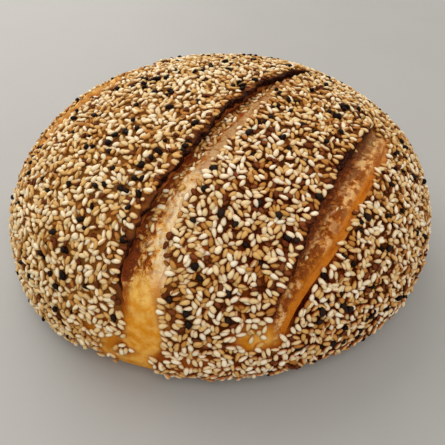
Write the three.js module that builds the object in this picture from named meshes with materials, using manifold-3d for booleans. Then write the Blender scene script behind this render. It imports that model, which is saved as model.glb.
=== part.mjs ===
// A small round hearth loaf: a domed crust with three parallel slashes that opened in the oven,
// each with a lifted ear along its left edge, and a coat of sesame seeds baked onto the crust.
// Millimetres, +Z up, origin at the middle of the flat foot. The loaf is one solid.
import * as THREE from "three";
import { mergeVertices } from "three/addons/utils/BufferGeometryUtils.js";
import Module from "manifold-3d";

const wasm = await Module();
wasm.setup();

// The dome: a rounded body of revolution, flattened where it sat on the oven stone.
const crustRadius = 79; // mean radius of the belly, without seeds
const crownHeight = 72.5; // foot to crown
const bellyHeight = 14; // height of the widest ring
const rootDepth = 20.5; // reach of the lower half below the belly, before it is flattened
const domePower = 2.25; // 2 is an ellipse, more is squarer

// The plan is not a true circle: it is drawn out one way and slightly three-cornered.
const stretchShare = 0.05;
const stretchTurn = 8; // degrees from +X
const cornerShare = 0.005;
const cornerTurn = 96;

// The slashes run side by side. "Across" is measured to the right of their run, "along" is up the run.
const runTurn = 55; // degrees from +X
const slashes = [
  {
    ear: -54, // across, where the ear's edge crosses the middle of the loaf
    slant: 0.1, // the edge's drift across for each millimetre along
    width: 10.5, // of the opening, between frontFull and backFull
    front: -60, // along, the two ends
    back: 32,
    frontFull: -38,
    backFull: 8,
    frontShare: 0.3, // of the width, left at each end
    backShare: 0.3,
    backTaper: 18, // length over which it dies out at the back
    flare: 0, // added to the width as the slash runs down the side
    veer: 0, // swing to the right low on the side
    sway: 0, // drift to the right between swayFrom and swayTo
    swayFrom: 0,
    swayTo: 30,
    depth: 3.2, // of the floor under the ear
    lift: 1.6, // of the ear's edge above the dome
    overhang: 1.2, // of the ear's edge to the right
  },
  {
    ear: 5.9,
    slant: -0.038,
    width: 11,
    front: -80,
    back: 52,
    frontFull: -60,
    backFull: -20,
    frontShare: 1,
    backShare: 0.3,
    backTaper: 18,
    flare: 4.5,
    veer: 8.3,
    sway: 6.8,
    swayFrom: 2.5,
    swayTo: 55,
    depth: 3.8,
    lift: 2,
    overhang: 1.6,
  },
  {
    ear: 50.8,
    slant: -0.09,
    width: 11,
    front: -58,
    back: 29,
    frontFull: -15,
    backFull: 14,
    frontShare: 0.37,
    backShare: 0.75,
    backTaper: 7,
    flare: 0,
    veer: 0,
    sway: -5.1,
    swayFrom: -35,
    swayTo: 30,
    depth: 3.3,
    lift: 1.5,
    overhang: 1.2,
  },
];
const earReach = 7; // how far back from its edge an ear starts to lift
const easeLength = 26; // over which the crust beside a slash takes up its drift and its widening
const endTaper = 18; // length over which a slash dies out at its front
const lowFrom = 4; // heights between which a slash that runs down the side dies out
const lowTo = 34;
const flareFrom = -55.5; // along: where a flared slash starts to widen, and where it is widest
const flareTo = -64.5;
const veerFrom = -67; // along: where a veering slash starts to swing right, and where it ends
const veerTo = -79.5;
const undercut = 0.6; // how far the wall under an ear is hollowed
const undercutShare = 0.25; // in widths from the ear, where the hollow ends
const floorPower = 0.8; // under 1 the floor of a slash bellies down, over 1 it rises early
const rimHeight = 0.5; // swelling along a slash's right edge
const ridgeHeight = 1.0; // of the soft ridge that stretched open inside a slash
const ridgePlace = 0.62; // in widths from the ear
const ridgeHalf = 0.24;

// How finely the crust is faceted.
const sliceCount = 20; // evenly spread slices, besides those that follow the slashes
const closestSlice = 3; // an even slice this near to one that follows a slash is left out
const aroundCount = 42; // points round each slice
const halvings = 40; // steps in finding where a ray leaves the dome
const slashLines = [-5, -2, -0.12]; // slices left of an ear, in millimetres from it
const openLines = [0.015, 0.3, ridgePlace, 0.86, 1, 1.35]; // slices in and right of a slash, in widths

// Sesame seeds: the largest ones, spread evenly over the crust.
const seedLength = 3.4;
const seedWidth = 1.9;
const seedThickness = 1;
const seedSpread = 0.14; // a seed's size varies by this share either way
const seedCount = 240; // places tried; those on a slash stay bare
const seedLift = 0.15; // of a seed's middle above the crust
const seedTaper = 0.82; // the narrow end against the round one
const lowestSeed = 7; // height under which no seed stands
const bareMargin = 2.6; // kept clear of seeds beside a slash
const tiltStep = 2; // degrees between the bands that even out the seeds
const drawSeed = 20617; // start of the random draw

const radians = THREE.MathUtils.degToRad;
const run = new THREE.Vector3(Math.cos(radians(runTurn)), Math.sin(radians(runTurn)), 0);
const right = new THREE.Vector3(run.y, -run.x, 0);
const up = new THREE.Vector3(0, 0, 1);
const east = new THREE.Vector3(1, 0, 0);
const smooth = (x, from, to) => {
  const share = THREE.MathUtils.clamp((x - from) / (to - from), 0, 1);
  return share * share * (3 - 2 * share);
};

// The dome as a level: under 1 inside the crust, 1 on it.
function domeLevel(across, along, height) {
  const above = height >= bellyHeight;
  const reach = above ? crownHeight - bellyHeight : rootDepth;
  const plan = Math.hypot(across, along) / crustRadius;
  return plan ** domePower + (Math.abs(height - bellyHeight) / reach) ** domePower;
}

// Where a ray from a point on the belly's plane meets the dome, found by halving.
function domePoint(start, way) {
  let near = 0;
  let far = 2 * crustRadius;
  for (let step = 0; step < halvings; step++) {
    const middle = (near + far) / 2;
    const p = start.clone().addScaledVector(way, middle);
    if (domeLevel(p.x, p.y, p.z) < 1) near = middle;
    else far = middle;
  }
  return start.clone().addScaledVector(way, near);
}

// Outward direction of the dome at a point on it, in across, along and height.
function domeNormal(p) {
  const plan = Math.max(Math.hypot(p.x, p.y), 1e-6);
  const above = p.z >= bellyHeight;
  const reach = above ? crownHeight - bellyHeight : rootDepth;
  const flat = (plan / crustRadius) ** (domePower - 1) / crustRadius / plan;
  const steep = (Math.abs(p.z - bellyHeight) / reach) ** (domePower - 1) / reach;
  return new THREE.Vector3(p.x * flat, p.y * flat, above ? steep : -steep).normalize();
}

// How open a slash is at a place along it: 0 past its ends and low on the side, 1 over most of its length.
function openness(slash, along, height) {
  const front = smooth(along, slash.front, slash.front + endTaper);
  const back = smooth(-along, -slash.back, -slash.back + slash.backTaper);
  return front * back * smooth(height, lowFrom, lowTo);
}

// How far an ear's edge has drifted across at a place along it.
function drift(slash, along) {
  const veer = slash.veer * smooth(-along, -veerFrom, -veerTo);
  return slash.slant * along + veer + slash.sway * smooth(along, slash.swayFrom, slash.swayTo);
}

// The width of a slash at a place along it: narrow at its ends, wider where it flares.
function widthAt(slash, along) {
  const front = slash.frontShare + (1 - slash.frontShare) * smooth(along, slash.front, slash.frontFull);
  const back = slash.backShare + (1 - slash.backShare) * smooth(-along, -slash.back, -slash.backFull);
  return slash.width * front * back + slash.flare * smooth(-along, -flareFrom, -flareTo);
}

// Carries a nominal place across to where the opening of the slashes has pushed it.
function pushedAcross(across, along) {
  let shift = 0;
  for (const slash of slashes) {
    const from = across - slash.ear;
    const inside = THREE.MathUtils.clamp(from / slash.width, 0, 1);
    const beyond = Math.max(-from, from - slash.width, 0);
    const fade = 1 - smooth(beyond, 0, easeLength);
    shift += fade * (drift(slash, along) + inside * (widthAt(slash, along) - slash.width));
  }
  return across + shift;
}

// Relief of the slashes at a nominal place: how far the crust rises, and how far it leans right.
// Left of the ear it curls up to the edge, inside it falls away under the ear and comes up over a soft
// ridge to the right edge, and beyond that a low rim eases out.
function slashRelief(across, along, height) {
  let rise = 0;
  let lean = 0;
  for (const slash of slashes) {
    const open = openness(slash, along, height);
    const from = across - slash.ear;
    const share = from / slash.width;
    if (from < 0 && from > -earReach) {
      const curl = (1 + from / earReach) ** 2;
      rise += open * slash.lift * curl;
      lean += open * slash.overhang * curl * curl;
    } else if (from >= 0 && share <= 1) {
      const ridge = ridgeHeight * Math.max(0, 1 - ((share - ridgePlace) / ridgeHalf) ** 2);
      rise += open * (rimHeight * share + ridge - slash.depth * (1 - share) ** floorPower);
      lean -= open * undercut * Math.max(0, 1 - share / undercutShare);
    } else if (share > 1 && share < 2) {
      rise += open * rimHeight * (2 - share) ** 2;
    }
  }
  return { rise, lean };
}

// The plan's share of the mean radius in a direction.
function planShare(x, y) {
  const turn = Math.atan2(y, x);
  const stretch = stretchShare * Math.cos(2 * (turn - radians(stretchTurn)));
  const corner = cornerShare * Math.cos(3 * (turn - radians(cornerTurn)));
  return 1 + stretch + corner;
}

// A point given in across, along and height, put into the loaf's own frame.
function placed(p) {
  const q = new THREE.Vector3().addScaledVector(right, p.x).addScaledVector(run, p.y);
  q.multiplyScalar(planShare(q.x, q.y));
  q.z = p.z;
  return q;
}

// A point of the crust on a slice, at an angle round the slice: the slice first gives the place along
// the slashes, then the place across is pushed and the dome is met again there.
function crustPoint(across, angle) {
  const way = new THREE.Vector3(0, Math.cos(angle), Math.sin(angle));
  const along = domePoint(new THREE.Vector3(across, 0, bellyHeight), way).y;
  const p = domePoint(new THREE.Vector3(pushedAcross(across, along), 0, bellyHeight), way);
  const { rise, lean } = slashRelief(across, along, p.z);
  p.addScaledVector(domeNormal(p), rise);
  p.x += lean;
  return placed(p);
}

// The slices' places across: evenly round the dome, with those beside a slash set by the slash.
function slicePlaces() {
  const places = [];
  for (const slash of slashes) {
    for (const line of slashLines) places.push(slash.ear + line);
    for (const line of openLines) places.push(slash.ear + line * slash.width);
  }
  const own = [...places];
  for (let i = 1; i < sliceCount; i++) {
    const across = -crustRadius * Math.cos((Math.PI * i) / sliceCount);
    if (own.every((place) => Math.abs(place - across) > closestSlice)) places.push(across);
  }
  return places.sort((a, b) => a - b);
}

// A three.js geometry as a solid that can be joined and cut.
function solidOf(geometry) {
  const shape = geometry.clone().deleteAttribute("normal").deleteAttribute("uv");
  const merged = mergeVertices(shape, 1e-4);
  return new wasm.Manifold(
    new wasm.Mesh({
      numProp: 3,
      vertProperties: merged.attributes.position.array,
      triVerts: new Uint32Array(merged.index.array),
    }),
  );
}

// The bare crust: slices from the left end to the right one, each a closed ring, with a point at each end.
function crustGeometry() {
  const places = slicePlaces();
  const points = [];
  const faces = [];
  for (const across of places)
    for (let j = 0; j < aroundCount; j++) points.push(crustPoint(across, (2 * Math.PI * j) / aroundCount));
  const leftEnd = points.push(placed(new THREE.Vector3(-crustRadius, 0, bellyHeight))) - 1;
  const rightEnd = points.push(placed(new THREE.Vector3(crustRadius, 0, bellyHeight))) - 1;
  const lastRing = (places.length - 1) * aroundCount;
  for (let j = 0; j < aroundCount; j++) {
    const k = (j + 1) % aroundCount;
    faces.push(leftEnd, k, j);
    faces.push(rightEnd, lastRing + j, lastRing + k);
    for (let ring = 0; ring < lastRing; ring += aroundCount) {
      const [a, b, c, d] = [ring + j, ring + k, ring + aroundCount + k, ring + aroundCount + j];
      faces.push(a, b, c, a, c, d);
    }
  }
  return new THREE.BufferGeometry().setFromPoints(points).setIndex(faces);
}

// Everything below the oven stone's face.
function stoneSolid() {
  const block = new THREE.BoxGeometry(4 * crustRadius, 4 * crustRadius, 2 * crustRadius);
  return solidOf(block.translate(0, 0, -crustRadius));
}

// A plain seeded generator of numbers from 0 to 1.
function seededDraw(state) {
  return () => {
    state = (state + 0x6d2b79f5) | 0;
    let mix = Math.imul(state ^ (state >>> 15), 1 | state);
    mix = (mix + Math.imul(mix ^ (mix >>> 7), 61 | mix)) ^ mix;
    return ((mix ^ (mix >>> 14)) >>> 0) / 4294967296;
  };
}

// One seed lying along +X with its flat side up: a six-sided drop with a narrow end.
function seedGeometry(size) {
  const drop = new THREE.SphereGeometry(0.5, 6, 3).rotateZ(-Math.PI / 2);
  const place = drop.attributes.position;
  for (let i = 0; i < place.count; i++) {
    const narrow = place.getX(i) > 0 ? seedTaper : 1;
    place.setY(i, place.getY(i) * narrow);
    place.setZ(i, place.getZ(i) * narrow);
  }
  const ringRadius = Math.sin(Math.PI / 3); // its two rings stand a third of the way in from the ends
  return drop.scale(seedLength * size, (seedWidth * size) / ringRadius, (seedThickness * size) / ringRadius);
}

// True where the crust is bare: on a slash and close beside it.
function onSlash(point) {
  const share = planShare(point.x, point.y);
  const across = point.dot(right) / share;
  const along = point.dot(run) / share;
  return slashes.some((slash) => {
    const past = across - slash.ear - drift(slash, along);
    const between = along > slash.front - bareMargin && along < slash.back + bareMargin;
    return between && past > -bareMargin && past < widthAt(slash, along) + bareMargin;
  });
}

// Directions from the middle of the belly to places spread evenly over the dome: a spiral from the
// crown down, each place given an equal band of the dome's area.
function evenDirections(count) {
  const goldenTurn = Math.PI * (3 - Math.sqrt(5));
  const middle = new THREE.Vector3(0, 0, bellyHeight);
  const tilts = [0];
  const areas = [0];
  let above = domePoint(middle, up);
  for (let step = 1; above.z > lowestSeed; step++) {
    const tilt = radians(step * tiltStep);
    const below = domePoint(middle, new THREE.Vector3(Math.sin(tilt), 0, Math.cos(tilt)));
    tilts.push(tilt);
    areas.push(areas.at(-1) + below.distanceTo(above) * (below.x + above.x));
    above = below;
  }
  return Array.from({ length: count }, (_, i) => {
    const area = (areas.at(-1) * (i + 0.5)) / count;
    const next = areas.findIndex((each) => each > area);
    const share = (area - areas[next - 1]) / (areas[next] - areas[next - 1]);
    const tilt = THREE.MathUtils.lerp(tilts[next - 1], tilts[next], share);
    return new THREE.Vector3().setFromSphericalCoords(1, tilt, goldenTurn * i).applyAxisAngle(east, Math.PI / 2);
  });
}

// The seeds, each turned and sized by the draw and lying on the facet of the crust that it stands over.
function seedSolids(crust) {
  const draw = seededDraw(drawSeed);
  const middle = new THREE.Vector3(0, 0, bellyHeight);
  const solids = [];
  for (const way of evenDirections(seedCount)) {
    const outside = middle.clone().addScaledVector(way, 3 * crustRadius);
    const [hit] = new THREE.Raycaster(outside, way.clone().negate()).intersectObject(crust);
    const size = 1 + seedSpread * (2 * draw() - 1);
    const heading = 2 * Math.PI * draw();
    if (onSlash(hit.point)) continue;
    const seed = seedGeometry(size).rotateZ(heading);
    seed.applyQuaternion(new THREE.Quaternion().setFromUnitVectors(up, hit.face.normal));
    const place = hit.point.addScaledVector(hit.face.normal, seedLift);
    solids.push(solidOf(seed.translate(place.x, place.y, place.z)));
  }
  return solids;
}

// A solid turned back into a three.js geometry.
function geometryOf(solid) {
  const mesh = solid.getMesh();
  return new THREE.BufferGeometry()
    .setAttribute("position", new THREE.BufferAttribute(mesh.vertProperties, 3))
    .setIndex(new THREE.BufferAttribute(mesh.triVerts, 1));
}

const crustMaterial = new THREE.MeshStandardMaterial({ color: 0xc08a45, roughness: 0.7, metalness: 0 });
const crust = new THREE.Mesh(crustGeometry(), crustMaterial);
const bare = solidOf(crust.geometry).subtract(stoneSolid());
const seeded = seedSolids(crust).reduce((whole, seed) => whole.add(seed), bare);
const loaf = new THREE.Mesh(geometryOf(seeded), crustMaterial);
loaf.name = "loaf";

const bread = new THREE.Group();
bread.add(loaf);
export default bread;
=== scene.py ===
import bpy
import numpy as np
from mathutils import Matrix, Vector


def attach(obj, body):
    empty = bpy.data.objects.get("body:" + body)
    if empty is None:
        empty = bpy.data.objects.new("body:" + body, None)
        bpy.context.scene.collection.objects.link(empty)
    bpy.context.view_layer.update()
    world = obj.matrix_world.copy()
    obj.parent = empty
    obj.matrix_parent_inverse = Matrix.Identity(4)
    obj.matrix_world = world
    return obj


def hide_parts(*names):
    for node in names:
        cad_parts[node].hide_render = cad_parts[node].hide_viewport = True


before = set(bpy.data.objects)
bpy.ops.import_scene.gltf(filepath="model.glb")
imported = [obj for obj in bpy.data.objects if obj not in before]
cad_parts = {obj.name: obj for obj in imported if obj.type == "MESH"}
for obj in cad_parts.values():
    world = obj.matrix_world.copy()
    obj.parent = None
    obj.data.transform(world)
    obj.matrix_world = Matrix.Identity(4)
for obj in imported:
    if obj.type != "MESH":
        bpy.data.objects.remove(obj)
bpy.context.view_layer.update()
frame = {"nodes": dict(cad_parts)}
mm = 0.001  # shapes are worked out in millimetres, meshes hold metres
print("frame loaded, nodes:", ", ".join(frame["nodes"]))


# The loaf's form, with the same driving sizes as its solid, in millimetres and degrees.
loafForm = {
    "radius": 79, "crown": 72.5, "belly": 14, "root": 20.5, "power": 2.25,
    "stretch": 0.05, "stretchTurn": 8, "corner": 0.005, "cornerTurn": 96, "runTurn": 55,
}
# What the three slashes share: how an ear lifts, how the floor lies, where a slash dies out, and how open it
# has to be to show its floor, to show its ear and to keep the coat of seeds out.
slashCut = {
    "earReach": 7, "earGap": 0.02, "ease": 26, "endTaper": 18, "lowFrom": 4, "lowTo": 34,
    "flareFrom": -55.5, "flareTo": -64.5, "veerFrom": -67, "veerTo": -79.5,
    "undercut": 0.6, "undercutShare": 0.25, "floorPower": 0.8,
    "rim": 0.5, "ridge": 1.0, "ridgePlace": 0.62, "ridgeHalf": 0.24,
    "floorShows": (0.02, 0.45), "earShows": (0.1, 0.5), "clearFrom": 0.12,
}
never = 900  # a place along the slashes that the loaf doesn't reach
# A slash's usual course and finish, with no rusty or pale stretch of floor.
usualSlash = {
    "backTaper": 18, "flare": 0, "veer": 0, "sway": 0, "swayFrom": 0, "swayTo": 30,
    "amber": 0, "char": 1, "lipSpots": 1, "spotSize": 3, "spotLevel": -0.2, "lipPatch": 0, "patchAlong": 0,
    "rustFrom": never, "rustTo": never + 1, "paleFrom": never, "paleTo": never + 1, "honey": 0,
}
# Each slash: its place and course, its width, its relief, then how its finish and its seeds lie.
slashes = [
    {  # left
        **usualSlash, "ear": -54, "slant": 0.1, "width": 10.5, "front": -60, "back": 32,
        "frontFull": -38, "backFull": 8, "frontShare": 0.3, "backShare": 0.3,
        "depth": 3.2, "lift": 1.6, "overhang": 1.2,
        "amber": 0.35, "char": 0, "charDown": 0.1, "lip": 0.22, "spotSize": 1.5, "spotLevel": -0.75,
        "caught": 0.08, "crumbs": 10, "seedGap": 5, "honey": 1,
    },
    {  # middle
        **usualSlash, "ear": 5.9, "slant": -0.038, "width": 11, "front": -80, "back": 52,
        "frontFull": -60, "backFull": -20, "frontShare": 1, "backShare": 0.3, "flare": 4.5, "veer": 8.3,
        "sway": 6.8, "swayFrom": 2.5, "swayTo": 55, "depth": 3.8, "lift": 2, "overhang": 1.6,
        "charDown": 0.35, "lip": 1.4, "lipSpots": 0.35, "rustFrom": -48, "rustTo": -20,
        "caught": 0.3, "crumbs": 85, "seedGap": 0.4,
    },
    {  # right
        **usualSlash, "ear": 50.8, "slant": -0.09, "width": 11, "front": -58, "back": 29, "backTaper": 7,
        "frontFull": -15, "backFull": 14, "frontShare": 0.37, "backShare": 0.75,
        "sway": -5.1, "swayFrom": -35, "depth": 3.3, "lift": 1.5, "overhang": 1.2,
        "amber": 1, "charDown": 0.8, "lip": 1.0, "lipSpots": 0.25, "lipPatch": 2.2, "patchAlong": 2,
        "rustFrom": -20, "rustTo": -50, "paleFrom": 0, "paleTo": 24,
        "caught": 0.03, "crumbs": 8, "seedGap": 0.1,
    },
]
runAngle = np.radians(loafForm["runTurn"])
runWay = np.array([np.cos(runAngle), np.sin(runAngle)])  # up the slashes, in plan
rightWay = np.array([runWay[1], -runWay[0]])  # to the right of them


# An S-curve: 0 before start, 1 after stop, 3x^2 - 2x^3 between.
def easeStep(x, start, stop):
    share = np.clip((x - start) / (stop - start), 0, 1)
    return share * share * (3 - 2 * share)


# Vectors made one long: each over its length.
def unit(v):
    return v / np.linalg.norm(v, axis=-1, keepdims=True)


# Vectors laid square to normals: the part along the normal is taken off and the rest made one long.
def squareTo(v, normal):
    return unit(v - normal * (v * normal).sum(-1, keepdims=True))


# Whole numbers that scatter the bits of a lattice place.
latticeHash = {
    "places": (73856093, 19349663, 83492791), "seed": 668265263, "all": 0xFFFFFFFF,
    "rounds": ((15, 2246822519), (13, 3266489917)), "lastShift": 16,
}


# Lattice noise from -1 to 1: whole-number places get random values, blended by S-curves between them.
def latticeNoise(points, size, seed):
    place = np.asarray(points, float) / size
    low = np.floor(place).astype(np.int64)
    part = place - low
    part = part * part * (3 - 2 * part)
    total = np.zeros(place.shape[:-1])
    for corner in range(8):
        step = np.array([corner & 1, corner >> 1 & 1, corner >> 2 & 1])
        spot = (low + step) * np.array(latticeHash["places"])
        mixed = (spot[..., 0] ^ spot[..., 1] ^ spot[..., 2]) + seed * latticeHash["seed"]
        mixed = (mixed & latticeHash["all"]).astype(np.uint64)
        for shift, factor in latticeHash["rounds"]:
            mixed = (mixed ^ (mixed >> np.uint64(shift))) * np.uint64(factor) & np.uint64(latticeHash["all"])
        mixed = mixed ^ (mixed >> np.uint64(latticeHash["lastShift"]))
        value = mixed.astype(float) / latticeHash["all"]
        total += value * np.prod(np.where(step, part, 1 - part), axis=-1)
    return 2 * total - 1


# Noise along a slash alone: lattice noise on a line of its own for each slash.
def edgeNoise(along, size, seed):
    return latticeNoise(np.stack([along, 0 * along, 0 * along + 0.5 * size], -1), size, seed)


# The plan's share of the mean radius: 1 plus a two-lobed and a three-lobed cosine of the direction.
def planShare(x, y):
    turn = np.arctan2(y, x)
    stretch = loafForm["stretch"] * np.cos(2 * (turn - np.radians(loafForm["stretchTurn"])))
    return 1 + stretch + loafForm["corner"] * np.cos(3 * (turn - np.radians(loafForm["cornerTurn"])))


# From across, along, height to the loaf's own x, y, z: turned in plan, then scaled by the plan's share.
def toLoaf(p):
    flat = p[..., :1] * rightWay + p[..., 1:2] * runWay
    flat = flat * planShare(flat[..., 0], flat[..., 1])[..., None]
    return np.concatenate([flat, p[..., 2:]], -1)


# The way back: scaled down by the plan's share, then measured along the two plan directions.
def toSlashes(q):
    flat = q[..., :2] / planShare(q[..., 0], q[..., 1])[..., None]
    return np.stack([flat @ rightWay, flat @ runWay, q[..., 2]], -1)


# The dome's reach from the belly: up to the crown, or down to the depth that its lower half would have.
def reachAt(height):
    return np.where(height >= loafForm["belly"], loafForm["crown"] - loafForm["belly"], loafForm["root"])


# 1 on the dome, less inside: plan radius and height, each over its reach, to the dome's power, added.
def domeLevel(p):
    power = loafForm["power"]
    flat = np.hypot(p[..., 0], p[..., 1]) / loafForm["radius"]
    return flat ** power + (np.abs(p[..., 2] - loafForm["belly"]) / reachAt(p[..., 2])) ** power


# Slides points along rays from the belly's middle onto the dome: the level to the -1/power is the scale.
def ontoDome(p):
    middle = np.array([0, 0, loafForm["belly"]])
    scale = domeLevel(p) ** (-1 / loafForm["power"])
    return middle + (p - middle) * scale[..., None]


# Outward direction of the dome: the gradient of its level, made one long.
def domeNormal(p):
    power = loafForm["power"]
    radius = np.maximum(np.hypot(p[..., 0], p[..., 1]), 1e-6)
    rise = p[..., 2] - loafForm["belly"]
    flat = (radius / loafForm["radius"]) ** (power - 1) / loafForm["radius"] / radius
    steep = np.sign(rise) * (np.abs(rise) / reachAt(p[..., 2])) ** (power - 1) / reachAt(p[..., 2])
    normal = np.stack([p[..., 0] * flat, p[..., 1] * flat, steep], -1)
    return unit(normal)


# The dome in a slice at a place across: from the belly's plane out along an angle, found by halving,
# and stopped at the flat base.
def sliceDome(across, angle):
    low = np.zeros(np.broadcast(across, angle).shape)
    high = np.full(low.shape, 2.0 * loafForm["radius"])

    def spot(distance):
        along = distance * np.cos(angle)
        height = loafForm["belly"] + distance * np.sin(angle)
        return np.stack([np.broadcast_to(across, low.shape), along, height], -1)

    for halving in range(36):  # down to a few billionths of a millimetre
        middle = (low + high) / 2
        inside = domeLevel(spot(middle)) < 1
        low = np.where(inside, middle, low)
        high = np.where(inside, high, middle)
    downward = np.minimum(np.sin(angle), -1e-9)
    base = np.where(np.sin(angle) < 0, -loafForm["belly"] / downward, high)
    return spot(np.minimum(low, base))


# How open a slash is: two S-curves at its ends times one up the side of the loaf.
def openness(slash, along, height):
    front = easeStep(along, slash["front"], slash["front"] + slashCut["endTaper"])
    back = easeStep(-along, -slash["back"], -slash["back"] + slash["backTaper"])
    return front * back * easeStep(height, slashCut["lowFrom"], slashCut["lowTo"])


# How far an ear's edge has drifted across: its slant times the place along, a swing low on the side and
# a sway further back.
def earDrift(slash, along):
    swing = easeStep(-along, -slashCut["veerFrom"], -slashCut["veerTo"])
    sway = easeStep(along, slash["swayFrom"], slash["swayTo"])
    return slash["slant"] * along + slash["veer"] * swing + slash["sway"] * sway


# A slash's width: full in the middle, down to its end shares by S-curves, with a flare down the side.
def widthAt(slash, along):
    frontRise = easeStep(along, slash["front"], slash["frontFull"])
    backRise = easeStep(-along, -slash["back"], -slash["backFull"])
    front = slash["frontShare"] + (1 - slash["frontShare"]) * frontRise
    back = slash["backShare"] + (1 - slash["backShare"]) * backRise
    flare = slash["flare"] * easeStep(-along, -slashCut["flareFrom"], -slashCut["flareTo"])
    return slash["width"] * front * back + flare


# Where the slashes push a nominal place across: the drift, and inside a slash its share of the widening.
def pushedAcross(across, along):
    shift = np.zeros(np.broadcast(across, along).shape)
    for slash in slashes:
        past = across - slash["ear"]
        share = np.clip(past / slash["width"], 0, 1)
        beyond = np.maximum(np.maximum(-past, past - slash["width"]), 0)
        fade = 1 - easeStep(beyond, 0, slashCut["ease"])
        shift = shift + fade * (earDrift(slash, along) + share * (widthAt(slash, along) - slash["width"]))
    return across + shift


# Places of points against one slash: millimetres right of its ear, and the same as a share of its width.
def againstSlash(slash, p):
    past = p[..., 0] - slash["ear"] - earDrift(slash, p[..., 1])
    return past, past / widthAt(slash, p[..., 1])


# What the loaf's baked skin adds to the plain dome, in millimetres. Pairs are the start and stop of an
# S-curve: of the height, the way to the front, the share across a slash, or a noise.
crustSkin = {
    "swell": 0.35, "swellSize": 24, "dimple": 0.14, "dimpleSize": 6, "quiet": (0.5, 10),
    "earWave": 0.55, "earWaveSize": 9, "earTear": 0.45, "earTearSize": 2.2,
    "edgeWave": 0.7, "edgeWaveSize": 5, "edgeTear": 0.75, "edgeTearSize": 1.4,
    "wallRough": 1.3, "wallSize": 1.3, "wallRoom": 4,
    "lump": 0.8, "lumpSize": 1.9, "lumpTurn": 35, "lumpLevel": (-0.2, 0.6), "lumpIn": (0.06, 0.22),
    "lumpOut": (0.5, 0.8), "fineLump": 0.5, "layer": 7, "crumb": 0.3, "lowCrumb": 0.5, "crumbSize": 1.25,
    "crumbIn": (0, 0.06), "lowCrumbOut": (0.2, 0.5), "crumbWorn": 0.8, "fibreWorn": 0.5,
    "fibre": 0.25, "fibreSize": 0.9, "fibreSquash": 0.14, "fibreIn": (0.25, 0.5),
    "smooth": (61, 75), "smoothLate": 5, "lateOut": (0.08, 0.48), "lateSway": 0.12, "swaySize": 3,
    "smoothWave": 2.5, "waveSize": 4, "worn": (70, 77), "wornFloor": 0.3, "honeyOut": (0.1, 0.5),
    "lipRagged": 0.7, "lipSize": 4, "leastLip": 0.1, "patchHalf": 7, "spotSoft": 0.5,
}
# Masks of the slashes that the finish reads: the share across, how much the floor shows, the way down the
# ear's wall, scorch, amber and charred slashes, lumps, the smooth front end, rusty and pale stretches, fibres
# and the honey crust beside an ear.
maskNames = (
    "openShare", "slashMask", "wallDown", "scorch", "amber", "char", "lumps", "smooth", "rust", "paleEnd",
    "strand", "honey",
)
seedStep = 10  # from the noise seeds of one slash to those of the next

lumpAngle = np.radians(crustSkin["lumpTurn"])
lumpWays = np.array([  # the lumps lie turned against the slash
    [np.cos(lumpAngle), np.sin(lumpAngle), 0], [-np.sin(lumpAngle), np.cos(lumpAngle), 0], [0, 0, 1],
])


# How far an ear is scorched back from its edge: a thin lip, wider by noise and in its one bare patch.
def lipWidth(slash, number, along):
    skin = crustSkin
    patch = slash["lipPatch"] * np.exp(-(((along - slash["patchAlong"]) / skin["patchHalf"]) ** 4))
    ragged = skin["lipRagged"] * edgeNoise(along, skin["lipSize"], seedStep * number + 17)
    return slash["lip"] * (1 + ragged) + patch


# An uneven edge along a slash: 1 plus a wave and a finer tear, each of them noise along it.
def unevenEdge(name, along, seed):
    wave, tear = (
        crustSkin[name + each] * edgeNoise(along, crustSkin[name + each + "Size"], seed + order)
        for order, each in enumerate(("Wave", "Tear"))
    )
    return 1 + wave + tear


# How scorched an ear is: exp(-distance / lip) back from its edge, a straight fade down its wall, in spots.
def earScorch(slash, number, past, down, along):
    lip = np.maximum(lipWidth(slash, number, along), crustSkin["leastLip"])
    fade = np.where(past < 0, np.exp(np.minimum(past, 0) / lip), np.clip(1 - down / slash["charDown"], 0, 1))
    spots = edgeNoise(along, slash["spotSize"], seedStep * number + 19)
    spots = easeStep(spots, slash["spotLevel"], slash["spotLevel"] + crustSkin["spotSoft"])
    return fade * (1 - slash["lipSpots"] * spots)


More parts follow.
